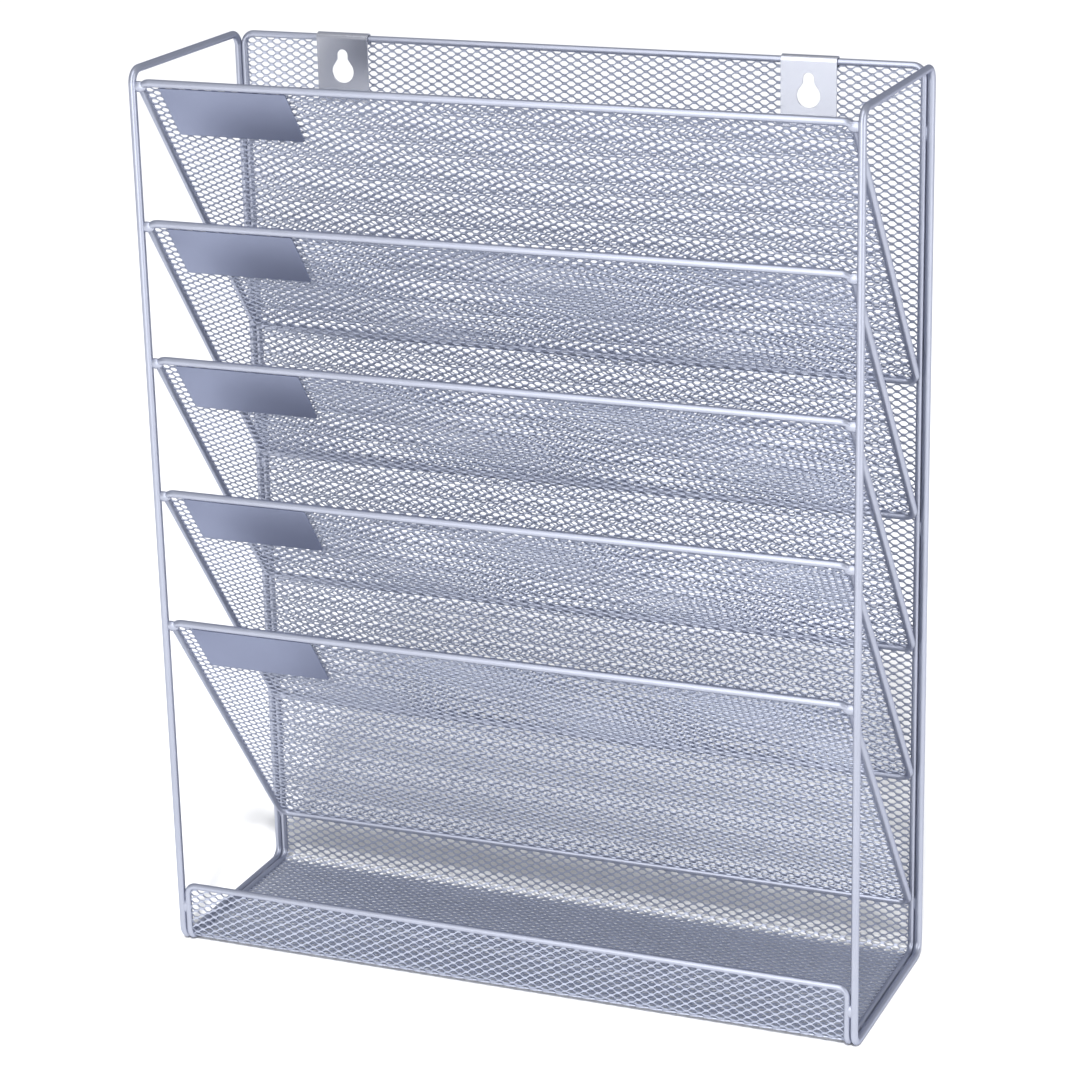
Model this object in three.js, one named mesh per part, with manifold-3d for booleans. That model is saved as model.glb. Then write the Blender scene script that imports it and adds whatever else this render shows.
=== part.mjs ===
// Wall literature holder: two bent side frames, a J-shaped expanded-metal body in a bent rim wire,
// five sloping dividers (each a bent wire frame filled with expanded metal), blank label plates
// and two keyhole hanger plates.
// Sizes are millimetres. X runs across the holder, -Y is its front, +Y the wall, +Z is up.
// The origin is below the middle of the holder, level with the lowest points of the side frames.

import * as THREE from "three";
import { mergeVertices } from "three/addons/utils/BufferGeometryUtils.js";
import Module from "manifold-3d";

const wasm = await Module();
wasm.setup();

// Overall layout, between the centre lines of the side frames' wires
const FRAME_SPACING = 325;
const FRAME_DEPTH = 99;
const FRAME_HEIGHT = 406.5;

// Wire diameters
const SIDE_WIRE = 3.4;
const RIM_WIRE = 3.0;
const DIVIDER_WIRE = 3.4;

// Bend radii at the wires' centre lines
const SIDE_BEND = 6;
const RIM_TOP_BEND = 5;
const RIM_FOLD_BEND = 5.5;
const RIM_LIP_BEND = 4;
const DIVIDER_BEND = 5;

// Clearance left where one piece is welded to, or rests on, the next
const SEAT = 0.3;

// Tray lip, from the floor's plane to the centre of its top wire
const LIP_HEIGHT = 26.8;

// Dividers
const DIVIDER_COUNT = 5;
const DIVIDER_STEP = 61.28;
const FIRST_RIM_DROP = 5.1;
const DIVIDER_DROP = 131;

// Expanded metal: opening pitch along and across, strand section, edge strip
const MESH_LONG_PITCH = 19;
const MESH_SHORT_PITCH = 10.7;
const STRAND_WIDTH = 1.5;
const STRAND_THICKNESS = 0.6;
const LAYER_GAP = 0.2;
const EDGE_WIDTH = 2;
const EDGE_PROUD = 0.1;

// Blank label plates on the dividers
const LABEL_WIDTH = 60;
const LABEL_HEIGHT = 28;
const LABEL_THICKNESS = 0.6;
const LABEL_INSET = 9.2;
const LABEL_CORNER = 1;

// Keyhole hanger plates folded over the top of the rim wire
const HANGER_INSET = 53.2;
const HANGER_WIDTH = 25;
const HANGER_DROP = 28.4;
const HANGER_THICKNESS = 0.6;
const HANGER_HOOK = 3;
const HANGER_OVERLAP = 3;
const KEYHOLE_DROP = 14.8;
const KEYHOLE_RADIUS = 5.2;
const KEYHOLE_SLOT_RADIUS = 2.5;
const KEYHOLE_RISE = 7.4;
const KEYHOLE_SHOULDER = 35;

// Facets: sides of a wire, steps of a wire's bend, of a sheet's fold and of a small arc
const WIRE_SIDES = 8;
const BEND_STEPS = 4;
const FOLD_STEPS = 2;
const ARC_STEPS = 6;
const CORNER_STEPS = 2;

// Derived planes and sizes
const sideRadius = SIDE_WIRE / 2;
const rimRadius = RIM_WIRE / 2;
const dividerRadius = DIVIDER_WIRE / 2;
const sideX = FRAME_SPACING / 2;
const rimX = sideX - sideRadius - SEAT - rimRadius;
const dividerX = sideX - sideRadius - SEAT - dividerRadius;
const hangerX = sideX - HANGER_INSET;
const hookReach = rimRadius + SEAT + HANGER_THICKNESS;
const frontY = (sideRadius - hookReach - FRAME_DEPTH) / 2;
const backY = frontY + FRAME_DEPTH;
const floorZ = sideRadius;
const topZ = floorZ + FRAME_HEIGHT;
const lipZ = floorZ + LIP_HEIGHT;
const edgeHalf = STRAND_THICKNESS + LAYER_GAP / 2 + EDGE_PROUD;
const dividerFootY = backY - edgeHalf - SEAT - dividerRadius;

const vector = (x, y, z) => new THREE.Vector3(x, y, z);

function toSolid(geometry) {
  geometry.deleteAttribute("normal");
  geometry.deleteAttribute("uv");
  const merged = mergeVertices(geometry, 1e-5);
  return new wasm.Manifold(new wasm.Mesh({
    numProp: 3,
    vertProperties: new Float32Array(merged.attributes.position.array),
    triVerts: new Uint32Array(merged.index.array),
  }));
}

function toGeometry(solid) {
  const mesh = solid.getMesh();
  const geometry = new THREE.BufferGeometry();
  geometry.setAttribute("position", new THREE.BufferAttribute(mesh.vertProperties, 3));
  geometry.setIndex(new THREE.BufferAttribute(mesh.triVerts, 1));
  return geometry;
}

function indexed(points, triangles) {
  const geometry = new THREE.BufferGeometry().setFromPoints(points);
  geometry.setIndex(triangles);
  return geometry;
}

// One wire bent into a closed loop: an arc of the given radius at each corner, straight between.
function wireLoop(corners, wireRadius) {
  const rings = [];
  let across = null;
  corners.forEach(({ at, bend }, i) => {
    const before = corners.at(i - 1).at;
    const after = corners[(i + 1) % corners.length].at;
    const inward = at.clone().sub(before).normalize();
    const outward = after.clone().sub(at).normalize();
    const axis = inward.clone().cross(outward).normalize();
    const turn = inward.angleTo(outward);
    const start = at.clone().addScaledVector(inward, -bend * Math.tan(turn / 2));
    const centre = start.clone().addScaledVector(axis.clone().cross(inward), bend);
    across = across ?? axis.clone();
    for (let k = 0; k <= BEND_STEPS; k++) {
      const angle = (turn * k) / BEND_STEPS;
      const spoke = start.clone().sub(centre).applyAxisAngle(axis, angle);
      const along = inward.clone().applyAxisAngle(axis, angle);
      const side = across.clone().applyAxisAngle(axis, angle);
      rings.push({ centre: centre.clone().add(spoke), along, side });
    }
    across.applyAxisAngle(axis, turn);
  });
  const points = [];
  for (const { centre, along, side } of rings) {
    const up = along.clone().cross(side);
    for (let k = 0; k < WIRE_SIDES; k++) {
      const angle = (2 * Math.PI * k) / WIRE_SIDES;
      const spoke = side.clone().multiplyScalar(Math.cos(angle)).addScaledVector(up, Math.sin(angle));
      points.push(centre.clone().addScaledVector(spoke, wireRadius));
    }
  }
  // A loop that bends in several planes comes home turned by whole facets: the last ring is matched.
  const first = rings[0];
  const firstUp = first.along.clone().cross(first.side);
  const twist = Math.atan2(across.dot(firstUp), across.dot(first.side));
  const shift = Math.round((twist / (2 * Math.PI)) * WIRE_SIDES);
  const triangles = [];
  rings.forEach((ring, i) => {
    const last = i === rings.length - 1;
    const here = i * WIRE_SIDES;
    const next = last ? 0 : here + WIRE_SIDES;
    const offset = last ? shift + WIRE_SIDES : 0;
    for (let k = 0; k < WIRE_SIDES; k++) {
      const a = here + k;
      const b = here + ((k + 1) % WIRE_SIDES);
      const c = next + ((k + 1 + offset) % WIRE_SIDES);
      const d = next + ((k + offset) % WIRE_SIDES);
      triangles.push(a, b, c, a, c, d);
    }
  });
  return indexed(points, triangles);
}

// A straight-sided ribbon on a sheet: each station is a pair of points across it, in the sheet's
// own u (across) and v (down its length), between two levels of its thickness.
function ribbon(place, stations, low, high) {
  const points = [];
  for (const [[ua, va], [ub, vb]] of stations) {
    points.push(place(ua, va, low), place(ub, vb, low), place(ub, vb, high), place(ua, va, high));
  }
  const triangles = [0, 1, 2, 0, 2, 3];
  for (let i = 0; i < stations.length - 1; i++) {
    for (let k = 0; k < 4; k++) {
      const a = 4 * i + k;
      const b = 4 * i + ((k + 1) % 4);
      triangles.push(a, a + 4, b + 4, a, b + 4, b);
    }
  }
  const end = 4 * (stations.length - 1);
  triangles.push(end, end + 2, end + 1, end, end + 3, end + 2);
  const solid = toSolid(indexed(points, triangles));
  return solid.volume() > 0 ? solid : toSolid(indexed(points, triangles.slice().reverse()));
}

// Where a slanting strand meets the sheet's four edge strips, and where it crosses the folds.
function strandStations(slope, rise, halfU, length, folds) {
  const inner = halfU - EDGE_WIDTH / 2;
  const top = EDGE_WIDTH / 2;
  const bottom = length - EDGE_WIDTH / 2;
  const tilt = Math.atan(Math.abs(slope));
  const reachU = STRAND_WIDTH / 2 / Math.sin(tilt);
  const reachV = STRAND_WIDTH / 2 / Math.cos(tilt);
  const atU = (u) => rise + slope * u;
  const atV = (v) => (v - rise) / slope;
  const keepU = (u) => THREE.MathUtils.clamp(u, -halfU + EDGE_PROUD, halfU - EDGE_PROUD);
  const keepV = (v) => THREE.MathUtils.clamp(v, EDGE_PROUD, length - EDGE_PROUD);
  const sign = Math.sign(slope);
  const cutAcross = (v) => [[keepU(atV(v) - reachU), v], [keepU(atV(v) + reachU), v]];
  const cutAlong = (u) => [[u, keepV(atU(u) + sign * reachV)], [u, keepV(atU(u) - sign * reachV)]];
  const ends = [];
  for (const u of [-inner, inner]) {
    if (atU(u) > top && atU(u) < bottom) ends.push({ v: atU(u), pair: cutAlong(u) });
  }
  for (const v of [top, bottom]) {
    if (Math.abs(atV(v)) <= inner) ends.push({ v, pair: cutAcross(v) });
  }
  if (ends.length !== 2) return null;
  ends.sort((a, b) => a.v - b.v);
  if (ends[1].v - ends[0].v < MESH_SHORT_PITCH / 2) return null;
  const crossed = folds.filter((v) => v > ends[0].v + reachV && v < ends[1].v - reachV);
  return [ends[0].pair, ...crossed.map(cutAcross), ends[1].pair];
}

// Expanded metal: two families of slanting strands, one behind the other, inside an edge strip.
function expandedSheet(place, halfU, length, folds) {
  const pieces = [];
  const downSheet = [0, ...folds, length];
  for (const side of [-1, 1]) {
    const outer = side * halfU;
    const inner = side * (halfU - EDGE_WIDTH);
    const stations = downSheet.map((v) => [[Math.min(outer, inner), v], [Math.max(outer, inner), v]]);
    pieces.push(ribbon(place, stations, -edgeHalf, edgeHalf));
  }
  for (const v of [0, length - EDGE_WIDTH]) {
    const stations = [-halfU, halfU].map((u) => [[u, v + EDGE_WIDTH], [u, v]]);
    pieces.push(ribbon(place, stations, -edgeHalf, edgeHalf));
  }
  const steepness = MESH_SHORT_PITCH / MESH_LONG_PITCH;
  const spread = Math.ceil((halfU * steepness) / MESH_SHORT_PITCH);
  const rows = Math.ceil(length / MESH_SHORT_PITCH);
  for (const lean of [-1, 1]) {
    const near = (lean * LAYER_GAP) / 2;
    const far = lean * (LAYER_GAP / 2 + STRAND_THICKNESS);
    for (let row = -spread; row <= rows + spread; row++) {
      const rise = (row + 0.5) * MESH_SHORT_PITCH;
      const stations = strandStations(lean * steepness, rise, halfU, length, folds);
      if (stations) pieces.push(ribbon(place, stations, Math.min(near, far), Math.max(near, far)));
    }
  }
  return wasm.Manifold.union(pieces);
}

// What is cut off a sheet's square corner so that it follows the wire's bend.
function cornerCutter(place, cornerU, cornerV, radius) {
  const signU = Math.sign(cornerU.to - cornerU.from);
  const signV = Math.sign(cornerV.to - cornerV.from);
  const centreU = cornerU.to - signU * radius;
  const centreV = cornerV.to - signV * radius;
  const depth = 2 * edgeHalf;
  const overU = cornerU.to + signU * SEAT;
  const overV = cornerV.to + signV * SEAT;
  const outline = [[overU, overV], [overU, centreV]];
  for (let k = 0; k <= CORNER_STEPS; k++) {
    const angle = ((Math.PI / 2) * k) / CORNER_STEPS;
    outline.push([centreU + signU * radius * Math.cos(angle), centreV + signV * radius * Math.sin(angle)]);
  }
  outline.push([centreU, overV]);
  const count = outline.length;
  const points = [-depth, depth].flatMap((w) => outline.map(([u, v]) => place(u, v, w)));
  const triangles = [];
  for (let k = 1; k < count - 1; k++) {
    triangles.push(0, k + 1, k, count, count + k, count + k + 1);
  }
  for (let k = 0; k < count; k++) {
    const next = (k + 1) % count;
    triangles.push(k, next, next + count, k, next + count, k + count);
  }
  const solid = toSolid(indexed(points, triangles));
  return solid.volume() > 0 ? solid : toSolid(indexed(points, triangles.slice().reverse()));
}

function cornerCutters(place, halfU, length, topRadius, bottomRadius) {
  const cutters = [];
  for (const side of [-1, 1]) {
    const across = { from: 0, to: side * halfU };
    cutters.push(cornerCutter(place, across, { from: length / 2, to: 0 }, topRadius));
    cutters.push(cornerCutter(place, across, { from: length / 2, to: length }, bottomRadius));
  }
  return wasm.Manifold.union(cutters);
}

function roundedRectangle(width, height, radius) {
  const shape = new THREE.Shape();
  const x = width / 2;
  const y = height / 2;
  shape.moveTo(-x + radius, -y);
  shape.lineTo(x - radius, -y);
  shape.absarc(x - radius, -y + radius, radius, -Math.PI / 2, 0, false);
  shape.lineTo(x, y - radius);
  shape.absarc(x - radius, y - radius, radius, 0, Math.PI / 2, false);
  shape.lineTo(-x + radius, y);
  shape.absarc(-x + radius, y - radius, radius, Math.PI / 2, Math.PI, false);
  shape.lineTo(-x, -y + radius);
  shape.absarc(-x + radius, -y + radius, radius, Math.PI, 1.5 * Math.PI, false);
  return shape;
}

const holder = new THREE.Group();
holder.name = "wall_literature_holder";

function addPiece(name, geometry, color, roughness) {
  const material = new THREE.MeshStandardMaterial({ color, metalness: 0.6, roughness });
  material.name = name;
  const mesh = new THREE.Mesh(geometry, material);
  mesh.name = name;
  holder.add(mesh);
}

const WIRE_COLOUR = 0xb4b8cb;
const MESH_COLOUR = 0xa3a8be;
const PLATE_COLOUR = 0x8a90a8;

// Side frames: closed rectangles of wire, one at each side of the holder
for (const [name, side] of [["left_side_frame", -1], ["right_side_frame", 1]]) {
  const x = side * sideX;
  const corners = [[frontY, floorZ], [backY, floorZ], [backY, topZ], [frontY, topZ]];
  const bent = corners.map(([y, z]) => ({ at: vector(x, y, z), bend: SIDE_BEND }));
  addPiece(name, wireLoop(bent, sideRadius), WIRE_COLOUR, 0.4);
}

// Body rim: up the back, over the top, down, forward under the tray and across the lip
const rimCorners = [];
for (const side of [1, -1]) {
  const x = side * rimX;
  const stops = [
    { at: vector(x, frontY, lipZ), bend: RIM_LIP_BEND },
    { at: vector(x, frontY, floorZ), bend: RIM_FOLD_BEND },
    { at: vector(x, backY, floorZ), bend: RIM_FOLD_BEND },
    { at: vector(x, backY, topZ), bend: RIM_TOP_BEND },
  ];
  rimCorners.push(...(side > 0 ? stops : stops.reverse()));
}
addPiece("body_rim_wire", wireLoop(rimCorners, rimRadius), WIRE_COLOUR, 0.4);

// Body sheet: back, tray floor and lip in one piece, folded inside the rim wire
const sheetEdge = rimRadius + SEAT;
const backRun = topZ - sheetEdge - floorZ - RIM_FOLD_BEND;
const floorRun = FRAME_DEPTH - 2 * RIM_FOLD_BEND;
const lipRun = LIP_HEIGHT - sheetEdge - RIM_FOLD_BEND;
const foldRun = (Math.PI / 2) * RIM_FOLD_BEND;
const bodyLength = backRun + floorRun + lipRun + 2 * foldRun;

function placeOnBody(u, v, w) {
  const reach = RIM_FOLD_BEND - w;
  let run = v;
  if (run <= backRun) return vector(u, backY - w, topZ - sheetEdge - run);
  run -= backRun;
  const rearY = backY - RIM_FOLD_BEND;
  const foreY = frontY + RIM_FOLD_BEND;
  const foldZ = floorZ + RIM_FOLD_BEND;
  if (run <= foldRun) {
    const angle = run / RIM_FOLD_BEND;
    return vector(u, rearY + reach * Math.cos(angle), foldZ - reach * Math.sin(angle));
  }
  run -= foldRun;
  if (run <= floorRun) return vector(u, rearY - run, floorZ + w);
  run -= floorRun;
  if (run <= foldRun) {
    const angle = run / RIM_FOLD_BEND;
    return vector(u, foreY - reach * Math.sin(angle), foldZ - reach * Math.cos(angle));
  }
  return vector(u, frontY + w, foldZ + run - foldRun);
}

const bodyFolds = [];
for (const start of [backRun, backRun + foldRun + floorRun]) {
  for (let k = 0; k <= FOLD_STEPS; k++) bodyFolds.push(start + (foldRun * k) / FOLD_STEPS);
}
const bodyHalf = rimX - sheetEdge;
let bodySheet = expandedSheet(placeOnBody, bodyHalf, bodyLength, bodyFolds);
bodySheet = bodySheet.subtract(
  cornerCutters(placeOnBody, bodyHalf, bodyLength, RIM_TOP_BEND - sheetEdge, RIM_LIP_BEND - sheetEdge),
);

// Behind each hanger plate the sheet is cut away, so that a screw passes through the keyhole
const windowTop = EDGE_WIDTH;
const windowBottom = HANGER_DROP - sheetEdge - HANGER_OVERLAP;
for (const side of [-1, 1]) {
  const middle = side * hangerX;
  const half = HANGER_WIDTH / 2 - HANGER_OVERLAP;
  const stations = [windowTop, windowBottom].map((v) => [[middle - half, v], [middle + half, v]]);
  bodySheet = bodySheet.subtract(ribbon(placeOnBody, stations, -2 * edgeHalf, 2 * edgeHalf));
}
addPiece("body_mesh", toGeometry(bodySheet), MESH_COLOUR, 0.5);

// Dividers: each slopes from its rim at the front down to its foot against the back sheet
const slope = vector(0, dividerFootY - frontY, -DIVIDER_DROP);
const slopeLength = slope.length();
slope.normalize();
const upSlope = slope.clone().negate();
const facing = vector(1, 0, 0).cross(upSlope);
const fillEdge = dividerRadius + SEAT;
const fillHalf = dividerX - fillEdge;
const fillLength = slopeLength - 2 * fillEdge;

// One sheet fills every divider: it is made lying flat, its top edge just below the rim's wire.
const placeFlat = (u, v, w) => vector(u, -fillEdge - v, w);
const fillCorner = DIVIDER_BEND - fillEdge;
const fill = expandedSheet(placeFlat, fillHalf, fillLength, [])
  .subtract(cornerCutters(placeFlat, fillHalf, fillLength, fillCorner, fillCorner));

for (let i = 0; i < DIVIDER_COUNT; i++) {
  const rimMiddle = vector(0, frontY, topZ - FIRST_RIM_DROP - i * DIVIDER_STEP);
  const stand = new THREE.Matrix4().makeBasis(vector(1, 0, 0), upSlope, facing).setPosition(rimMiddle);
  const number = i + 1;

  const corners = [[-dividerX, 0], [dividerX, 0], [dividerX, -slopeLength], [-dividerX, -slopeLength]];
  const bent = corners.map(([u, v]) => ({ at: vector(u, v, 0).applyMatrix4(stand), bend: DIVIDER_BEND }));
  addPiece(`divider_${number}_frame`, wireLoop(bent, dividerRadius), WIRE_COLOUR, 0.4);
  addPiece(`divider_${number}_mesh`, toGeometry(fill).applyMatrix4(stand), MESH_COLOUR, 0.5);

  const plate = new THREE.ExtrudeGeometry(roundedRectangle(LABEL_WIDTH, LABEL_HEIGHT, LABEL_CORNER), {
    depth: LABEL_THICKNESS,
    bevelEnabled: false,
    curveSegments: CORNER_STEPS,
  });
  plate.translate(LABEL_INSET + LABEL_WIDTH / 2 - dividerX, -fillEdge - LABEL_HEIGHT / 2, edgeHalf + SEAT);
  addPiece(`label_plate_${number}`, plate.applyMatrix4(stand), PLATE_COLOUR, 0.45);
}

// Hanger plates: a flat tab with a keyhole, its top folded over the rim wire
function hangerProfile() {
  const inner = rimRadius + SEAT;
  const outer = inner + HANGER_THICKNESS;
  const shape = new THREE.Shape();
  shape.moveTo(-outer, -HANGER_DROP);
  shape.lineTo(-inner, -HANGER_DROP);
  shape.lineTo(-inner, 0);
  shape.absarc(0, 0, inner, Math.PI, 0, true);
  shape.lineTo(inner, -HANGER_HOOK);
  shape.lineTo(outer, -HANGER_HOOK);
  shape.lineTo(outer, 0);
  shape.absarc(0, 0, outer, 0, Math.PI, false);
  shape.lineTo(-outer, -HANGER_DROP);
  return shape;
}

function keyholeOutline() {
  const shoulder = THREE.MathUtils.degToRad(KEYHOLE_SHOULDER);
  const slot = KEYHOLE_SLOT_RADIUS;
  const neckZ = (KEYHOLE_RADIUS - slot * Math.cos(shoulder)) / Math.sin(shoulder);
  const shape = new THREE.Shape();
  shape.absarc(0, 0, KEYHOLE_RADIUS, Math.PI - shoulder, 2 * Math.PI + shoulder, false);
  shape.lineTo(slot, neckZ);
  shape.lineTo(slot, KEYHOLE_RISE);
  shape.absarc(0, KEYHOLE_RISE, slot, 0, Math.PI, false);
  shape.lineTo(-slot, neckZ);
  return shape;
}

const tab = new THREE.ExtrudeGeometry(hangerProfile(), {
  depth: HANGER_WIDTH,
  bevelEnabled: false,
  curveSegments: ARC_STEPS,
});
// The profile's first axis is the holder's Y and its second is Z, so the width runs along X.
tab.applyMatrix4(new THREE.Matrix4().makeBasis(vector(0, 1, 0), vector(0, 0, 1), vector(1, 0, 0)));
tab.translate(-HANGER_WIDTH / 2, backY, topZ);
const keyhole = new THREE.ExtrudeGeometry(keyholeOutline(), {
  depth: 2 * hookReach,
  bevelEnabled: false,
  curveSegments: ARC_STEPS,
});
keyhole.rotateX(Math.PI / 2).translate(0, backY, topZ - KEYHOLE_DROP);
const hanger = toSolid(tab).subtract(toSolid(keyhole));
for (const [name, side] of [["left_hanger_plate", -1], ["right_hanger_plate", 1]]) {
  const placed = toGeometry(hanger).translate(side * hangerX, 0, 0);
  addPiece(name, placed, PLATE_COLOUR, 0.4);
}

export default holder;
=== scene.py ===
import math

import bmesh
import bpy
from bpy.props import FloatProperty, FloatVectorProperty, IntProperty, PointerProperty
from mathutils import Matrix, Vector


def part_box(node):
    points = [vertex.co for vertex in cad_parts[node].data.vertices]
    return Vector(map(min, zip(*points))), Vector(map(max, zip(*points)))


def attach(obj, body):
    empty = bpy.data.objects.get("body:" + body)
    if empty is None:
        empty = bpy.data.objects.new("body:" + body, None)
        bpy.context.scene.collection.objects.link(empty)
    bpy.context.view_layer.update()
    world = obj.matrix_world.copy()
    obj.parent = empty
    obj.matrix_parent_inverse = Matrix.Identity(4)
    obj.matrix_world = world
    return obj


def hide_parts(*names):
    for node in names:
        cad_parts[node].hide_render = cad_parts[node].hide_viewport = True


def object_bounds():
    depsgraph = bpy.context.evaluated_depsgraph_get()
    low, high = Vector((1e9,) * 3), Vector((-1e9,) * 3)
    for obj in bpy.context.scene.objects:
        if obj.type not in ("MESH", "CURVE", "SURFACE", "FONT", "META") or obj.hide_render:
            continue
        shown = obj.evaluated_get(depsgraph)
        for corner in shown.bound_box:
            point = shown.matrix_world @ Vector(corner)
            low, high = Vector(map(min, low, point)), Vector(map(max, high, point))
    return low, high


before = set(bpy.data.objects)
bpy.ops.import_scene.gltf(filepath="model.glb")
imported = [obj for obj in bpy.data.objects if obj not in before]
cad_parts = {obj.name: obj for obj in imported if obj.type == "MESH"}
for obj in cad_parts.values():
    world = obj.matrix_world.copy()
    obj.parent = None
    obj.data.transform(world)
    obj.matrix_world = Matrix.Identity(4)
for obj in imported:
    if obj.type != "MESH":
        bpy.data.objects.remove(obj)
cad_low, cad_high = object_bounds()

bl_info = {
    "name": "Wall Literature Holder",
    "version": (1, 0, 0),
    "blender": (4, 5, 0),
    "location": "View3D > Sidebar > Holder",
    "description": "Bent wire, expanded metal and plates of a wall-hung document holder",
    "category": "Object",
}

DIVIDERS = range(1, 6)
SIDES = ("left", "right")

# Points nearer than this, in metres, count as touching or as level.
CLOSE = 1e-6

# A sheet's corner is sheared off by this share of its wire's bend.
CORNER_SHARE = 0.6

# What lies against a divider's wire, such as a label plate's top edge, is this share of the
# wire's diameter off its centre line.
AGAINST_WIRE = 0.4

# Where the body is welded to the side frames, as shares of the back's height, of the
# tray's depth and of the lip's height.
BACK_WELDS = (0.06, 0.5, 0.93)
TRAY_WELDS = (0.2, 0.8)
LIP_WELD = 0.6


def linear(hex_colour):
    """Turns an sRGB hex colour into the linear RGBA that a shader socket takes."""
    channels = [int(hex_colour[i:i + 2], 16) / 255 for i in (1, 3, 5)]
    return [c / 12.92 if c <= 0.04045 else ((c + 0.055) / 1.055) ** 2.4 for c in channels] + [1.0]


def centre_line_box(node, radius):
    """Lowest and highest corner of the centre line that a CAD node's wire follows."""
    low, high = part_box(node)
    reach = Vector((radius, radius, radius))
    return low + reach, high - reach


# sizes and colours a user would change


class HolderSizes(bpy.types.PropertyGroup):
    """Sizes of the holder's wire, expanded metal and plates"""

    side_wire: FloatProperty(
        name="Side frame wire", description="Diameter of the side frames' wire",
        default=0.0034, unit="LENGTH", subtype="DISTANCE")
    rim_wire: FloatProperty(
        name="Rim wire", description="Diameter of the wire round the body sheet",
        default=0.0030, unit="LENGTH", subtype="DISTANCE")
    divider_wire: FloatProperty(
        name="Divider wire", description="Diameter of the dividers' wire",
        default=0.0034, unit="LENGTH", subtype="DISTANCE")
    side_bend: FloatProperty(
        name="Side frame bend", description="Bend radius at the side frames' corners",
        default=0.006, unit="LENGTH", subtype="DISTANCE")
    rim_top_bend: FloatProperty(
        name="Back corner bend", description="Bend radius at the back's top corners",
        default=0.005, unit="LENGTH", subtype="DISTANCE")
    rim_fold_bend: FloatProperty(
        name="Fold bend", description="Bend radius where the body folds into the tray and its lip",
        default=0.0055, unit="LENGTH", subtype="DISTANCE")
    rim_lip_bend: FloatProperty(
        name="Lip corner bend", description="Bend radius at the lip's top corners",
        default=0.004, unit="LENGTH", subtype="DISTANCE")
    divider_bend: FloatProperty(
        name="Divider bend", description="Bend radius at the dividers' corners",
        default=0.005, unit="LENGTH", subtype="DISTANCE")
    lip_height: FloatProperty(
        name="Lip height", description="From the tray floor to the centre of the lip's wire",
        default=0.0268, unit="LENGTH", subtype="DISTANCE")
    wire_sides: IntProperty(
        name="Wire sides", description="Facets round a wire", default=20, min=8)
    bend_steps: IntProperty(
        name="Bend steps", description="Facets along a right-angle bend", default=10, min=4)
    long_pitch: FloatProperty(
        name="Long pitch", description="Expanded metal's opening pitch across the holder",
        default=0.00635, unit="LENGTH", subtype="DISTANCE")
    short_pitch: FloatProperty(
        name="Short pitch", description="Expanded metal's opening pitch down the sheet",
        default=0.00352, unit="LENGTH", subtype="DISTANCE")
    strand: FloatProperty(
        name="Strand width", description="Width of one strand between two openings",
        default=0.00064, unit="LENGTH", subtype="DISTANCE")
    bond: FloatProperty(
        name="Bond length", description="Length of the joint where four strands meet",
        default=0.0017, unit="LENGTH", subtype="DISTANCE")
    sheet_thickness: FloatProperty(
        name="Sheet thickness", description="Thickness of the sheet before it is expanded",
        default=0.0006, unit="LENGTH", subtype="DISTANCE")
    body_tilt: FloatProperty(
        name="Body tilt", description="How far a bond's lower edge stands forward in the body sheet",
        default=-0.00016, unit="LENGTH", subtype="DISTANCE")
    divider_tilt: FloatProperty(
        name="Divider tilt", description="How far a bond's lower edge stands forward in the dividers",
        default=-0.00028, unit="LENGTH", subtype="DISTANCE")
    seat: FloatProperty(
        name="Seat", description="Clearance between welded pieces in the solids, closed here",
        default=0.0003, unit="LENGTH", subtype="DISTANCE")
    label_corner: FloatProperty(
        name="Label plate corner", description="Corner radius of the label plates",
        default=0.001, unit="LENGTH", subtype="DISTANCE")
    soft_edge: FloatProperty(
        name="Soft edge", description="How far the coat rounds a plate's cut edges",
        default=0.00012, unit="LENGTH", subtype="DISTANCE")
    hanger_thickness: FloatProperty(
        name="Hanger plate thickness", description="Thickness of the hanger plates",
        default=0.0006, unit="LENGTH", subtype="DISTANCE")
    hook_drop: FloatProperty(
        name="Hook drop", description="Straight end of a hanger plate behind the rim wire",
        default=0.003, unit="LENGTH", subtype="DISTANCE")
    plate_overlap: FloatProperty(
        name="Plate overlap", description="How far a hanger plate laps over its cut-out in the sheet",
        default=0.0025, unit="LENGTH", subtype="DISTANCE")
    keyhole_drop: FloatProperty(
        name="Keyhole drop", description="From the rim wire down to the middle of the screw head's hole",
        default=0.0148, unit="LENGTH", subtype="DISTANCE")
    keyhole_radius: FloatProperty(
        name="Keyhole radius", description="Radius of the hole for the screw's head",
        default=0.0052, unit="LENGTH", subtype="DISTANCE")
    slot_radius: FloatProperty(
        name="Slot radius", description="Half the width of the keyhole's slot",
        default=0.0025, unit="LENGTH", subtype="DISTANCE")
    keyhole_rise: FloatProperty(
        name="Keyhole rise", description="From the head's hole up to the end of the slot",
        default=0.0074, unit="LENGTH", subtype="DISTANCE")


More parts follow.
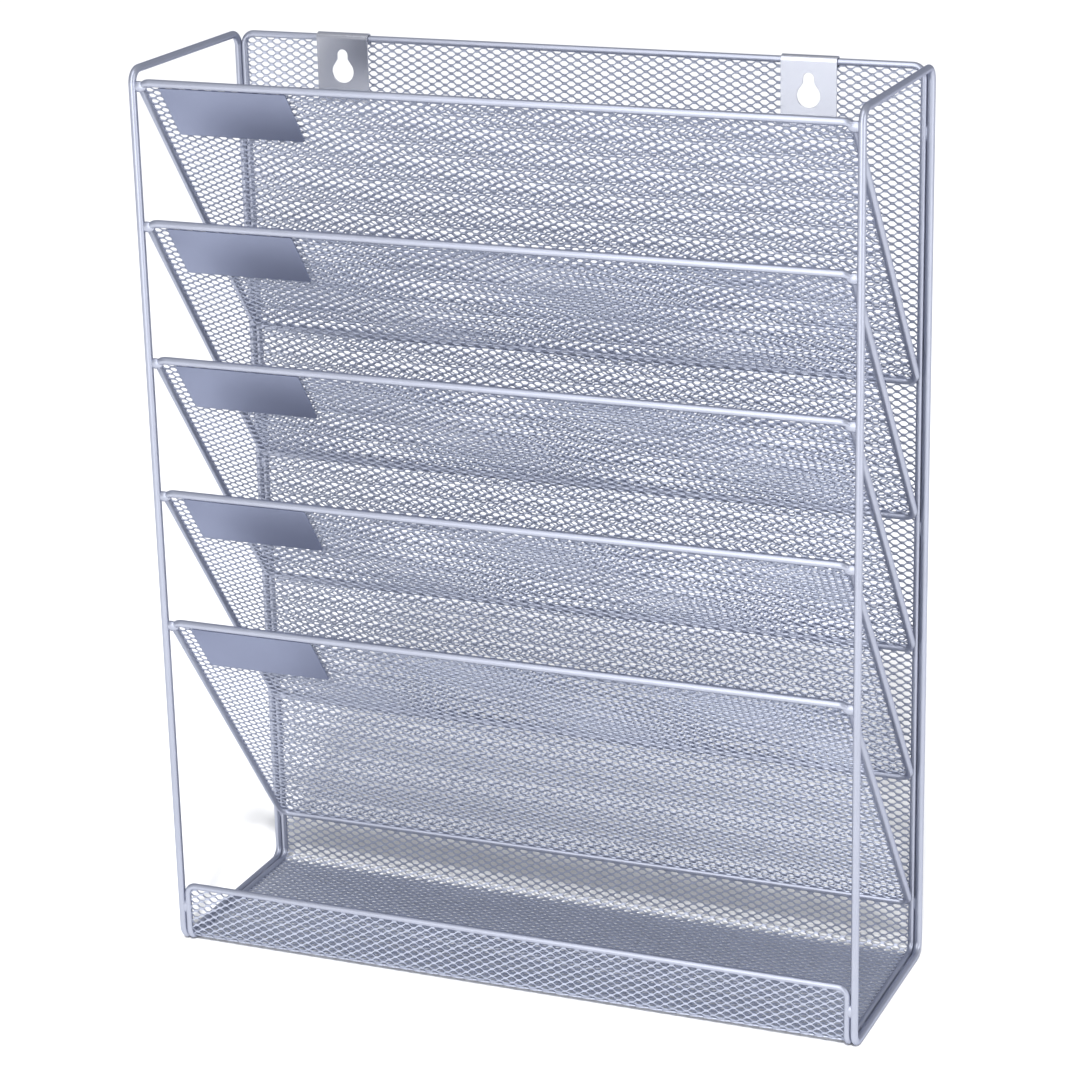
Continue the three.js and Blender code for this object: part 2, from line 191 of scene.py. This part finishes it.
class HolderFinish(bpy.types.PropertyGroup):
    """Colours of the holder's powder coat and of the stage"""

    wire_colour: FloatVectorProperty(
        name="Wire coat", description="Powder coat on the wires", size=4, subtype="COLOR",
        min=0, max=1, default=linear("#AFB3C1"))
    sheet_colour: FloatVectorProperty(
        name="Sheet coat", description="Powder coat on the expanded metal", size=4, subtype="COLOR",
        min=0, max=1, default=linear("#BABFCE"))
    # Painted shade: the label plates' silver coat is drawn darker than on the other pieces, standing in
    # for the dim surroundings that their down-turned fronts reflect.
    label_colour_with_painted_shade: FloatVectorProperty(
        name="Label plate coat", description="Powder coat on the label plates", size=4,
        subtype="COLOR", min=0, max=1, default=linear("#8F95AB"))
    hanger_colour: FloatVectorProperty(
        name="Hanger plate coat", description="Powder coat on the hanger plates", size=4,
        subtype="COLOR", min=0, max=1, default=linear("#B9BBC3"))
    floor_colour: FloatVectorProperty(
        name="Floor", description="Plain pale floor", size=4, subtype="COLOR",
        min=0, max=1, default=linear("#D5D5D5"))
    room_colour: FloatVectorProperty(
        name="Room", description="Dim studio room behind the lamps", size=4, subtype="COLOR",
        min=0, max=1, default=linear("#F0F2FA"))


def sizes():
    return bpy.context.scene.holder_sizes


def finish():
    return bpy.context.scene.holder_finish


# materials


def add_node(tree, kind, links=None, **settings):
    """Adds a node, sets its sockets and properties by name, and links sockets to others' outputs."""
    node = tree.nodes.new(kind)
    for name, value in settings.items():
        if name in node.inputs:
            node.inputs[name].default_value = value
        elif name.replace("_", " ") in node.inputs:
            node.inputs[name.replace("_", " ")].default_value = value
        else:
            setattr(node, name, value)
    for name, source in (links or {}).items():
        tree.links.new(source, node.inputs[name])
    return node


def powder_coat(name, colour, roughness, peel_width, peel_height):
    """Silver polyester powder coat, sprayed dry and baked on steel.

    Fine aluminium flakes in a clear binder: a pale metal sheen that spreads wide,
    a slight cloudiness where the film is thicker, and a shallow orange peel.
    """
    if name in bpy.data.materials:
        return bpy.data.materials[name]
    material = bpy.data.materials.new(name)
    material.use_nodes = True
    tree = material.node_tree
    tree.nodes.clear()
    where = add_node(tree, "ShaderNodeTexCoord").outputs["Object"]
    # The film's thickness, and with it the coat's shade, drifts over about 25 mm.
    thin_film, thick_film, drift = 0.93, 1.05, 0.025
    cloud = add_node(tree, "ShaderNodeTexNoise", {"Vector": where}, Scale=1 / drift, Detail=2.0)
    shade = add_node(tree, "ShaderNodeMixRGB", {"Fac": cloud.outputs["Fac"]},
                     Color1=[c * thin_film for c in colour[:3]] + [1.0],
                     Color2=[min(1.0, c * thick_film) for c in colour[:3]] + [1.0])
    # The binder's orange peel: its width is from crest to crest, about one or two millimetres.
    peel = add_node(tree, "ShaderNodeTexNoise", {"Vector": where}, Scale=1 / peel_width, Detail=1.0)
    bump = add_node(tree, "ShaderNodeBump", {"Height": peel.outputs["Fac"]},
                    Strength=0.35, Distance=peel_height)
    coat = add_node(
        tree, "ShaderNodeBsdfPrincipled",
        {"Base Color": shade.outputs["Color"], "Normal": bump.outputs["Normal"]},
        Metallic=0.85, Roughness=roughness, Specular_Tint=(0.5, 0.52, 0.62, 1.0))
    add_node(tree, "ShaderNodeOutputMaterial", {"Surface": coat.outputs["BSDF"]})
    return material


def wire_coat():
    return powder_coat("powder_coat_on_drawn_wire", finish().wire_colour,
                       roughness=0.36, peel_width=0.0016, peel_height=0.00004)


def sheet_coat():
    return powder_coat("powder_coat_on_expanded_steel", finish().sheet_colour,
                       roughness=0.42, peel_width=0.0012, peel_height=0.00003)


# The label plates' silver powder coat, drawn darker than on the other pieces: the darkening is painted
# shade for the dim surroundings their down-turned fronts reflect.
def label_coat_with_painted_shade():
    return powder_coat("powder_coat_on_label_plates_with_painted_shade", finish().label_colour_with_painted_shade,
                       roughness=0.34, peel_width=0.0022, peel_height=0.00005)


def hanger_coat():
    return powder_coat("powder_coat_on_hanger_plates", finish().hanger_colour,
                       roughness=0.20, peel_width=0.0022, peel_height=0.00005)


# making pieces


def new_piece(name, bm, material, replaced, smooth=True):
    """Turns a finished bmesh into a piece that rides on the holder and stands for CAD nodes."""
    mesh = bpy.data.meshes.new(name)
    bm.to_mesh(mesh)
    bm.free()
    mesh.materials.append(material)
    mesh.polygons.foreach_set("use_smooth", [smooth] * len(mesh.polygons))
    piece = bpy.data.objects.new(name, mesh)
    bpy.context.scene.collection.objects.link(piece)
    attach(piece, "root")
    if replaced:
        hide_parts(*replaced)
    return piece


def verts_of(made):
    return [item for item in made if isinstance(item, bmesh.types.BMVert)]


def edges_of(made):
    return [item for item in made if isinstance(item, bmesh.types.BMEdge)]


def bent_wire(stops, radius):
    """A closed wire: its round section is pushed along each straight and spun round each bend."""
    bends = []
    for i, (corner, bend) in enumerate(stops):
        inward = (corner - stops[i - 1][0]).normalized()
        outward = (stops[(i + 1) % len(stops)][0] - corner).normalized()
        turn = inward.angle(outward)
        setback = bend * math.tan(turn / 2)
        axis = inward.cross(outward).normalized()
        start = corner - inward * setback
        bends.append((start, start + axis.cross(inward) * bend, axis, turn, corner + outward * setback))
    # The wire starts where its last bend ends.
    here = bends[-1][-1]
    heading = (bends[0][0] - here).normalized()
    stand = Matrix.Translation(here) @ heading.to_track_quat("Z", "Y").to_matrix().to_4x4()
    bm = bmesh.new()
    made = bmesh.ops.create_circle(
        bm, cap_ends=False, radius=radius, segments=sizes().wire_sides, matrix=stand)
    ring = list({edge for vert in made["verts"] for edge in vert.link_edges})
    for start, centre, axis, turn, end in bends:
        pushed = bmesh.ops.extrude_edge_only(bm, edges=ring)["geom"]
        bmesh.ops.translate(bm, verts=verts_of(pushed), vec=start - here)
        spun = bmesh.ops.spin(
            bm, geom=verts_of(pushed) + edges_of(pushed), cent=centre, axis=axis, angle=turn,
            steps=max(3, round(sizes().bend_steps * turn / (math.pi / 2))),
            use_merge=False, use_duplicate=False)["geom_last"]
        ring = edges_of(spun)
        here = end
    bmesh.ops.remove_doubles(bm, verts=bm.verts[:], dist=radius * 0.02)
    bmesh.ops.recalc_face_normals(bm, faces=bm.faces[:])
    return bm


def repeat_along(bm, step, count):
    """Copies everything there is along a step, until there are count of it."""
    first = bm.verts[:] + bm.edges[:] + bm.faces[:]
    for k in range(1, count):
        made = bmesh.ops.duplicate(bm, geom=first)["geom"]
        bmesh.ops.translate(bm, verts=verts_of(made), vec=step * k)


def cut_off(bm, point, outward):
    """Shears off all that lies beyond a plane."""
    geometry = bm.verts[:] + bm.edges[:] + bm.faces[:]
    bmesh.ops.bisect_plane(
        bm, geom=geometry, dist=1e-7, plane_co=point, plane_no=outward, clear_outer=True)


def expanded_metal(half_width, top, bottom, corner_cuts, rise):
    """A flat sheet of expanded metal in X and Y, its face towards +Z.

    One bond and its two right-hand strands are drawn, repeated over the sheet in staggered
    rows, joined and sheared to size. The slitting knife leaves each bond tilted: its lower
    edge stands forward by the rise and its upper edge back, or the other way round where
    the rise is negative.
    """
    s = sizes()
    long_pitch, short_pitch = s.long_pitch, s.short_pitch
    half_bond = s.bond / 2
    bm = bmesh.new()

    def quad(*corners):
        bm.faces.new([bm.verts.new(corner) for corner in corners])

    # The bond's upper edge, middle and lower edge: how far up the sheet, and how far forward.
    levels = ((s.strand, -rise), (0.0, 0.0), (-s.strand, rise))
    for (high, high_z), (low, low_z) in zip(levels, levels[1:]):
        quad((-half_bond, high, high_z), (-half_bond, low, low_z),
             (half_bond, low, low_z), (half_bond, high, high_z))
    next_x = long_pitch / 2 - half_bond
    # One strand goes from the bond's upper half to the lower half of the next bond above, the
    # other from its lower half to the upper half of the next bond below.
    upper, lower = levels[:2], levels[1:]
    for lean, start, end in ((1, upper, lower), (-1, lower, upper)):
        (y0, z0), (y1, z1) = start
        (y2, z2), (y3, z3) = [(y + lean * short_pitch / 2, z) for y, z in end]
        quad((half_bond, y0, z0), (half_bond, y1, z1), (next_x, y3, z3), (next_x, y2, z2))
    # The spare columns and rows are sheared off with the sheet's edges.
    spare = 2
    columns = math.ceil(half_width * 2 / long_pitch) + spare
    rows = math.ceil((top - bottom) / short_pitch) + spare
    repeat_along(bm, Vector((long_pitch / 2, short_pitch / 2, 0)), 2)
    repeat_along(bm, Vector((long_pitch, 0, 0)), columns)
    repeat_along(bm, Vector((0, short_pitch, 0)), rows)
    centre = Vector((-(columns - 1) * long_pitch / 2, bottom - short_pitch, 0))
    bmesh.ops.translate(bm, verts=bm.verts[:], vec=centre)
    bmesh.ops.remove_doubles(bm, verts=bm.verts[:], dist=1e-5)
    cut_off(bm, (0, top, 0), (0, 1, 0))
    cut_off(bm, (0, bottom, 0), (0, -1, 0))
    for side in (-1, 1):
        cut_off(bm, (side * half_width, 0, 0), (side, 0, 0))
        for level, upward, cut in corner_cuts:
            if cut:
                cut_off(bm, (side * (half_width - cut), level, 0), (side, upward, 0))
    return bm


def give_thickness(piece, thickness):
    """Thickens a piece's thin sheet, half to each side."""
    solidify = piece.modifiers.new("sheet_thickness", "SOLIDIFY")
    solidify.thickness = thickness
    solidify.offset = 0.0
    solidify.use_even_offset = False


# where the pieces go


def divider_stand(number):
    """Matrix from a divider's own plane (X across, Y up its slope, Z to its front) to its place,
    with its origin at the middle of the rim's centre line, and the slope's length."""
    low, high = centre_line_box(f"divider_{number}_frame", sizes().divider_wire / 2)
    up = Vector((0, low.y - high.y, high.z - low.z))
    length = up.length
    up.normalize()
    across = Vector((1, 0, 0))
    facing = across.cross(up)
    matrix = Matrix((across, up, facing)).transposed().to_4x4()
    matrix.translation = Vector((0, low.y, high.z))
    return matrix, length


def body_planes():
    """Front and back planes, tray floor, top, and the rim's side distance, as centre lines."""
    low, high = centre_line_box("body_rim_wire", sizes().rim_wire / 2)
    return low.y, high.y, low.z, high.z, high.x + sizes().seat


class SideFrames(bpy.types.Operator):
    """Bend the two closed wire rectangles at the holder's sides"""

    bl_idname = "holder.side_frames"
    bl_label = "Side Frames"

    def execute(self, context):
        s = sizes()
        for name in SIDES:
            low, high = centre_line_box(f"{name}_side_frame", s.side_wire / 2)
            x = (low.x + high.x) / 2
            corners = ((low.y, low.z), (high.y, low.z), (high.y, high.z), (low.y, high.z))
            stops = [(Vector((x, y, z)), s.side_bend) for y, z in corners]
            bm = bent_wire(stops, s.side_wire / 2)
            new_piece(f"{name}_side_wire", bm, wire_coat(), [f"{name}_side_frame"])
        return {"FINISHED"}


class BodyRim(bpy.types.Operator):
    """Bend the wire that runs round the back, the tray and the lip"""

    bl_idname = "holder.body_rim"
    bl_label = "Body Rim"

    def execute(self, context):
        s = sizes()
        front, back, floor, top, x = body_planes()
        run = [(front, floor + s.lip_height, s.rim_lip_bend), (front, floor, s.rim_fold_bend),
               (back, floor, s.rim_fold_bend), (back, top, s.rim_top_bend)]
        stops = [(Vector((x, y, z)), bend) for y, z, bend in run]
        stops += [(Vector((-x, y, z)), bend) for y, z, bend in reversed(run)]
        new_piece("body_rim", bent_wire(stops, s.rim_wire / 2), wire_coat(), ["body_rim_wire"])
        return {"FINISHED"}


class BodySheet(bpy.types.Operator):
    """Expand, fold and trim the sheet that forms the back, the tray and the lip"""

    bl_idname = "holder.body_sheet"
    bl_label = "Body Sheet"

    def execute(self, context):
        s = sizes()
        front, back, floor, top, x = body_planes()
        fold = s.rim_fold_bend
        quarter = math.pi / 2 * fold
        back_run = top - floor - fold
        floor_run = back - front - 2 * fold
        lip_run = s.lip_height - fold
        length = back_run + floor_run + lip_run + 2 * quarter

        def folded(point):
            """Lays a point of the flat sheet down the back, round a fold, forward along the
            tray, round the other fold and up the lip, by how far down the sheet it is."""
            reach, run = fold - point.z, -point.y
            if run <= back_run:
                return Vector((point.x, back - point.z, top - run))
            run -= back_run
            if run <= quarter:
                angle = run / fold
                return Vector((point.x, back - fold + reach * math.cos(angle),
                               floor + fold - reach * math.sin(angle)))
            run -= quarter
            if run <= floor_run:
                return Vector((point.x, back - fold - run, floor + point.z))
            run -= floor_run
            if run <= quarter:
                angle = run / fold
                return Vector((point.x, front + fold - reach * math.sin(angle),
                               floor + fold - reach * math.cos(angle)))
            return Vector((point.x, front + point.z, floor + fold + run - quarter))

        # The sheet reaches to the rim wire's middle, where it is welded on.
        corner_cuts = ((0, 1, s.rim_top_bend * CORNER_SHARE),
                       (-length, -1, s.rim_lip_bend * CORNER_SHARE))
        whole = expanded_metal(x, 0, -length, corner_cuts, s.body_tilt)
        # The sheet is cut out behind each hanger plate, so the keyhole is clear. Only the faces
        # near the cut-out are split: this far beside its middle, and this far below its edge.
        split_beside, split_below = 0.02, 0.006
        for name in SIDES:
            low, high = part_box(f"{name}_hanger_plate")
            left, right = low.x + s.plate_overlap, high.x - s.plate_overlap
            lower = -(top - low.z - s.plate_overlap)
            for point, normal in (((left, 0, 0), (1, 0, 0)),
                                  ((right, 0, 0), (1, 0, 0)),
                                  ((0, lower, 0), (0, 1, 0))):
                near = [f for f in whole.faces
                        if abs(f.calc_center_median().x - (left + right) / 2) < split_beside
                        and f.calc_center_median().y > lower - split_below]
                near = list({item for f in near for item in (*f.verts, *f.edges, f)})
                bmesh.ops.bisect_plane(whole, geom=near, dist=1e-7, plane_co=point, plane_no=normal)
            inside = [f for f in whole.faces if left < f.calc_center_median().x < right
                      and lower < f.calc_center_median().y < -s.rim_wire]
            bmesh.ops.delete(whole, geom=inside, context="FACES")
        # One mesh would be too heavy, so the sheet is made in three pieces, by their upper and
        # lower cuts. The first and the last cut lie beyond the sheet.
        beyond = 1.0
        cuts = {"back_upper": (beyond, -back_run / 2), "back_lower": (-back_run / 2, -back_run),
                "tray": (-back_run, -length - beyond)}
        for name, (top_cut, bottom_cut) in cuts.items():
            bm = whole.copy()
            cut_off(bm, (0, top_cut, 0), (0, 1, 0))
            cut_off(bm, (0, bottom_cut, 0), (0, -1, 0))
            for vert in bm.verts:
                vert.co = folded(vert.co)
            piece = new_piece(f"body_sheet_{name}", bm, sheet_coat(),
                              ["body_mesh"], smooth=False)
            give_thickness(piece, s.sheet_thickness)
        whole.free()
        return {"FINISHED"}


class DividerFrames(bpy.types.Operator):
    """Bend the closed wire frame of each sloping divider"""

    bl_idname = "holder.divider_frames"
    bl_label = "Divider Frames"

    def execute(self, context):
        s = sizes()
        for number in DIVIDERS:
            low, high = centre_line_box(f"divider_{number}_frame", s.divider_wire / 2)
            matrix, length = divider_stand(number)
            left, right = low.x - s.seat, high.x + s.seat
            corners = ((left, 0), (right, 0), (right, -length), (left, -length))
            stops = [(matrix @ Vector((x, y, 0)), s.divider_bend) for x, y in corners]
            new_piece(f"divider_{number}_wire", bent_wire(stops, s.divider_wire / 2), wire_coat(),
                      [f"divider_{number}_frame"])
        return {"FINISHED"}


class DividerSheets(bpy.types.Operator):
    """Expand the sheet that fills each divider's frame"""

    bl_idname = "holder.divider_sheets"
    bl_label = "Divider Sheets"

    def execute(self, context):
        s = sizes()
        _, high = centre_line_box("divider_1_frame", s.divider_wire / 2)
        _, length = divider_stand(1)
        cut = s.divider_bend * CORNER_SHARE
        corner_cuts = ((0, 1, cut), (-length, -1, cut))
        flat = expanded_metal(high.x + s.seat, 0, -length, corner_cuts, s.divider_tilt)
        for number in DIVIDERS:
            bm = flat.copy()
            bmesh.ops.transform(bm, matrix=divider_stand(number)[0], verts=bm.verts[:])
            piece = new_piece(f"divider_{number}_sheet", bm, sheet_coat(),
                              [f"divider_{number}_mesh"], smooth=False)
            give_thickness(piece, s.sheet_thickness)
        flat.free()
        return {"FINISHED"}


class LabelPlates(bpy.types.Operator):
    """Cut the blank label plate at the upper left of each divider"""

    bl_idname = "holder.label_plates"
    bl_label = "Label Plates"

    def execute(self, context):
        s = sizes()
        for number in DIVIDERS:
            matrix, _ = divider_stand(number)
            # The solid plate's own box, in the divider's plane.
            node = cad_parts[f"label_plate_{number}"]
            own = [matrix.inverted() @ vert.co for vert in node.data.vertices]
            low = Vector([min(p[i] for p in own) for i in range(3)])
            high = Vector([max(p[i] for p in own) for i in range(3)])
            # The plate's top edge is tucked against the rim wire.
            high.y = -s.divider_wire * AGAINST_WIRE
            bm = bmesh.new()
            place = Matrix.Translation((low + high) / 2) @ Matrix.Diagonal((*(high - low), 1))
            bmesh.ops.create_cube(bm, size=1, matrix=place)
            corners = [e for e in bm.edges if abs((e.verts[0].co - e.verts[1].co).z) > CLOSE]
            bmesh.ops.bevel(bm, geom=corners, offset=s.label_corner, segments=4, profile=0.5,
                            affect="EDGES", material=-1)
            rims = [e for e in bm.edges if abs((e.verts[0].co - e.verts[1].co).z) < CLOSE]
            bmesh.ops.bevel(bm, geom=rims, offset=s.soft_edge, segments=2, profile=0.5,
                            affect="EDGES", material=-1)
            bmesh.ops.transform(bm, matrix=matrix, verts=bm.verts[:])
            bmesh.ops.recalc_face_normals(bm, faces=bm.faces[:])
            new_piece(f"label_plate_{number}_blank", bm, label_coat_with_painted_shade(),
                      [f"label_plate_{number}"], smooth=False)
        return {"FINISHED"}


def keyhole_outline(bm, centre):
    """Draws the keyhole's edge in the XZ plane: two arcs joined by shoulders and straight sides."""
    s = sizes()
    facing = Matrix.Rotation(math.pi / 2, 4, "X")
    # The head's arc stops at this angle above its middle, and a straight shoulder goes on.
    shoulder = math.radians(35)
    head = bmesh.ops.create_circle(
        bm, radius=s.keyhole_radius, segments=40, matrix=Matrix.Translation(centre) @ facing)["verts"]
    above = [v for v in head if v.co.z - centre.z > s.keyhole_radius * math.sin(shoulder)]
    bmesh.ops.delete(bm, geom=above, context="VERTS")
    end = centre + Vector((0, 0, s.keyhole_rise))
    slot = bmesh.ops.create_circle(
        bm, radius=s.slot_radius, segments=28, matrix=Matrix.Translation(end) @ facing)["verts"]
    below = [v for v in slot if v.co.z < end.z - CLOSE]
    bmesh.ops.delete(bm, geom=below, context="VERTS")
    neck = (s.keyhole_radius - s.slot_radius * math.cos(shoulder)) / math.sin(shoulder)
    for side in (-1, 1):
        ends = [v for v in bm.verts if len(v.link_edges) == 1 and (v.co.x - centre.x) * side > 0]
        upper = max(ends, key=lambda v: v.co.z)
        lower = min(ends, key=lambda v: v.co.z)
        waist = bm.verts.new((centre.x + side * s.slot_radius, centre.y, centre.z + neck))
        bm.edges.new((upper, waist))
        bm.edges.new((waist, lower))


class HangerPlates(bpy.types.Operator):
    """Punch the keyhole plates and fold their tops over the rim wire"""

    bl_idname = "holder.hanger_plates"
    bl_label = "Hanger Plates"

    def execute(self, context):
        s = sizes()
        _, back, _, top, _ = body_planes()
        for name in SIDES:
            low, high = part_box(f"{name}_hanger_plate")
            middle_x, face_y = (low.x + high.x) / 2, low.y + s.hanger_thickness / 2
            bm = bmesh.new()
            # The plate's front is filled in between its border and the keyhole's edge.
            keyhole_outline(bm, Vector((middle_x, face_y, top - s.keyhole_drop)))
            border = bmesh.ops.create_grid(
                bm, x_segments=1, y_segments=1, size=0.5,
                matrix=Matrix.Translation((middle_x, face_y, (low.z + top) / 2))
                @ Matrix.Rotation(math.pi / 2, 4, "X")
                @ Matrix.Diagonal((high.x - low.x, top - low.z, 1, 1)))["verts"]
            blank = list({f for v in border for f in v.link_faces})
            bmesh.ops.delete(bm, geom=blank, context="FACES_ONLY")
            bmesh.ops.triangle_fill(bm, edges=bm.edges[:], use_beauty=True, normal=(0, -1, 0))
            # Its top edge is curled over the rim wire and ends in a short hook behind it.
            upper = [e for e in bm.edges if all(v.co.z > top - CLOSE for v in e.verts)]
            ends = list({v for e in upper for v in e.verts})
            curl = bmesh.ops.spin(bm, geom=upper + ends, cent=(0, back, top), axis=(1, 0, 0),
                                  angle=-math.pi, steps=14, use_merge=False,
                                  use_duplicate=False)["geom_last"]
            hook = bmesh.ops.extrude_edge_only(bm, edges=edges_of(curl))["geom"]
            bmesh.ops.translate(bm, verts=verts_of(hook), vec=(0, 0, -s.hook_drop))
            bmesh.ops.remove_doubles(bm, verts=bm.verts[:], dist=CLOSE)
            bmesh.ops.recalc_face_normals(bm, faces=bm.faces[:])
            piece = new_piece(f"{name}_hanger", bm, hanger_coat(),
                              [f"{name}_hanger_plate"], smooth=False)
            give_thickness(piece, s.hanger_thickness)
            soften = piece.modifiers.new("punched_edges", "BEVEL")
            soften.width = s.soft_edge
            soften.segments = 2
            soften.limit_method = "ANGLE"
            soften.angle_limit = math.radians(50)
        return {"FINISHED"}


def weld(bm, place, size):
    """One resistance weld: a smooth pad of metal pressed out across two touching wires."""
    bmesh.ops.create_uvsphere(bm, u_segments=20, v_segments=12, radius=1.0,
                              matrix=Matrix.Translation(place) @ Matrix.Diagonal((*size, 1)))


class Welds(bpy.types.Operator):
    """Press the spot welds between the wires that touch"""

    bl_idname = "holder.welds"
    bl_label = "Welds"

    def execute(self, context):
        s = sizes()
        front, back, floor, top, rim_x = body_planes()
        low, high = centre_line_box("right_side_frame", s.side_wire / 2)
        side_x = (low.x + high.x) / 2
        touch = rim_x + s.rim_wire / 2
        # Half the width, depth and height of the pads at each kind of joint.
        back_pad, tray_pad = (0.0014, 0.0010, 0.0034), (0.0014, 0.0034, 0.0010)
        lip_pad, rim_pad = (0.0032, 0.0015, 0.0032), (0.0038, 0.0014, 0.0024)
        foot_pad = (0.0026, 0.0012, 0.0014)
        # A rim's pad lies this far in from the side wire, back from the front plane and below
        # the rim's centre line. A foot's pad lies in from the side wire's centre line.
        rim_inset = Vector((0.0012, 0.0004, 0.0018))
        foot_inset = 0.012
        bm = bmesh.new()
        for side in (-1, 1):
            for share in BACK_WELDS:
                weld(bm, (side * touch, back, floor + (top - floor) * share), back_pad)
            for share in TRAY_WELDS:
                weld(bm, (side * touch, front + (back - front) * share, floor), tray_pad)
            weld(bm, (side * touch, front, floor + s.lip_height * LIP_WELD), lip_pad)
            for number in DIVIDERS:
                matrix, length = divider_stand(number)
                shoulder = side_x - s.side_wire / 2 - rim_inset.x
                rim_z = matrix.translation.z - rim_inset.z
                weld(bm, (side * shoulder, front + rim_inset.y, rim_z), rim_pad)
                foot = matrix @ Vector((side * (side_x - foot_inset), -length, 0))
                weld(bm, foot + Vector((0, s.divider_wire * AGAINST_WIRE, 0)), foot_pad)
        new_piece("welds", bm, wire_coat(), [])
        return {"FINISHED"}


class Stage(bpy.types.Operator):
    """Lay the pale floor, hang the soft lamps and set up the camera"""

    bl_idname = "holder.stage"
    bl_label = "Stage"

    def execute(self, context):
        scene = context.scene
        material = bpy.data.materials.new("pale_studio_floor")
        material.use_nodes = True
        tree = material.node_tree
        tree.nodes.clear()
        matt = add_node(tree, "ShaderNodeBsdfDiffuse", Color=finish().floor_colour)
        add_node(tree, "ShaderNodeOutputMaterial", {"Surface": matt.outputs["BSDF"]})
        bm = bmesh.new()
        bmesh.ops.create_grid(bm, x_segments=1, y_segments=1, size=6)
        mesh = bpy.data.meshes.new("floor")
        bm.to_mesh(mesh)
        bm.free()
        mesh.materials.append(material)
        floor = bpy.data.objects.new("floor", mesh)
        scene.collection.objects.link(floor)

        # The room is dimmer than the lamps, so the wires' edges come out darker.
        world = bpy.data.worlds.new("dim_studio")
        world.use_nodes = True
        tree = world.node_tree
        tree.nodes.clear()
        room = add_node(tree, "ShaderNodeBackground", Color=finish().room_colour, Strength=0.58)
        add_node(tree, "ShaderNodeOutputWorld", {"Surface": room.outputs["Background"]})
        scene.world = world

        # Each lamp's name, place, aim, width, height and brightness.
        middle = (cad_low + cad_high) / 2
        for name, place, aim, width, tall, glow in (
            ("key_softbox", (-0.2, -1.75, 1.0), (0.0, 0.0, 0.85), 1.1, 2.0, 2.8),
            ("side_softbox", (1.5, -0.55, 0.7), middle, 0.8, 1.3, 2.6),
            ("top_softbox", (-0.1, -0.7, 1.7), middle, 1.2, 0.8, 2.0),
        ):
            lamp = bpy.data.lights.new(name, "AREA")
            lamp.shape = "RECTANGLE"
            lamp.size, lamp.size_y = width, tall
            lamp.energy = glow * math.pi * width * tall
            thing = bpy.data.objects.new(name, lamp)
            thing.location = place
            away = Vector(place) - Vector(aim)
            thing.rotation_euler = away.to_track_quat("Z", "Y").to_euler()
            scene.collection.objects.link(thing)

        # This light falls on the floor alone, past the holder. It whitens the background, and
        # the holder's shadow in it shows through the holes of the lower sheets.
        lamp = bpy.data.lights.new("floor_light", "SUN")
        lamp.energy = 4.6
        lamp.angle = math.radians(5)
        thing = bpy.data.objects.new("floor_light", lamp)
        towards_light = Vector((0.194, -0.667, 0.719))
        thing.rotation_euler = towards_light.to_track_quat("Z", "Y").to_euler()
        scene.collection.objects.link(thing)
        receivers = bpy.data.collections.new("lit_by_floor_light")
        receivers.objects.link(floor)
        thing.light_linking.receiver_collection = receivers

        # The photograph's camera, found from the holder's own corners.
        camera = bpy.data.cameras.new("camera")
        camera.lens = 108.81
        camera.sensor_width = 36.0
        camera.shift_x = -0.0024
        camera.shift_y = 0.0016
        camera.clip_end = 50.0
        thing = bpy.data.objects.new("camera", camera)
        turn = Matrix.Rotation(math.radians(22.630), 3, "Z")
        tip = Matrix.Rotation(math.radians(90 - 18.353), 3, "X")
        roll = Matrix.Rotation(math.radians(-1.307), 3, "Z")
        thing.rotation_euler = (turn @ tip @ roll).to_euler()
        thing.location = (0.5295, -1.2654, 0.6524)
        scene.collection.objects.link(thing)
        scene.camera = thing
        scene.view_settings.view_transform = "Standard"
        return {"FINISHED"}


class HolderPanel(bpy.types.Panel):
    """The holder's sizes, colours and steps"""

    bl_idname = "VIEW3D_PT_holder"
    bl_label = "Literature Holder"
    bl_space_type = "VIEW_3D"
    bl_region_type = "UI"
    bl_category = "Holder"

    def draw(self, context):
        for group in (context.scene.holder_sizes, context.scene.holder_finish):
            box = self.layout.box()
            for name in group.__annotations__:
                box.prop(group, name)
        for step in STEPS:
            self.layout.operator(step.bl_idname)


STEPS = (SideFrames, BodyRim, BodySheet, DividerFrames, DividerSheets, LabelPlates,
         HangerPlates, Welds, Stage)
CLASSES = (HolderSizes, HolderFinish, *STEPS, HolderPanel)


def register():
    for cls in CLASSES:
        bpy.utils.register_class(cls)
    bpy.types.Scene.holder_sizes = PointerProperty(type=HolderSizes)
    bpy.types.Scene.holder_finish = PointerProperty(type=HolderFinish)


def unregister():
    del bpy.types.Scene.holder_finish
    del bpy.types.Scene.holder_sizes
    for cls in reversed(CLASSES):
        bpy.utils.unregister_class(cls)


def main():
    register()
    bpy.ops.holder.side_frames()
    bpy.ops.holder.body_rim()
    bpy.ops.holder.body_sheet()
    bpy.ops.holder.divider_frames()
    bpy.ops.holder.divider_sheets()
    bpy.ops.holder.label_plates()
    bpy.ops.holder.hanger_plates()
    bpy.ops.holder.welds()
    bpy.ops.holder.stage()


if __name__ == "__main__":
    main()
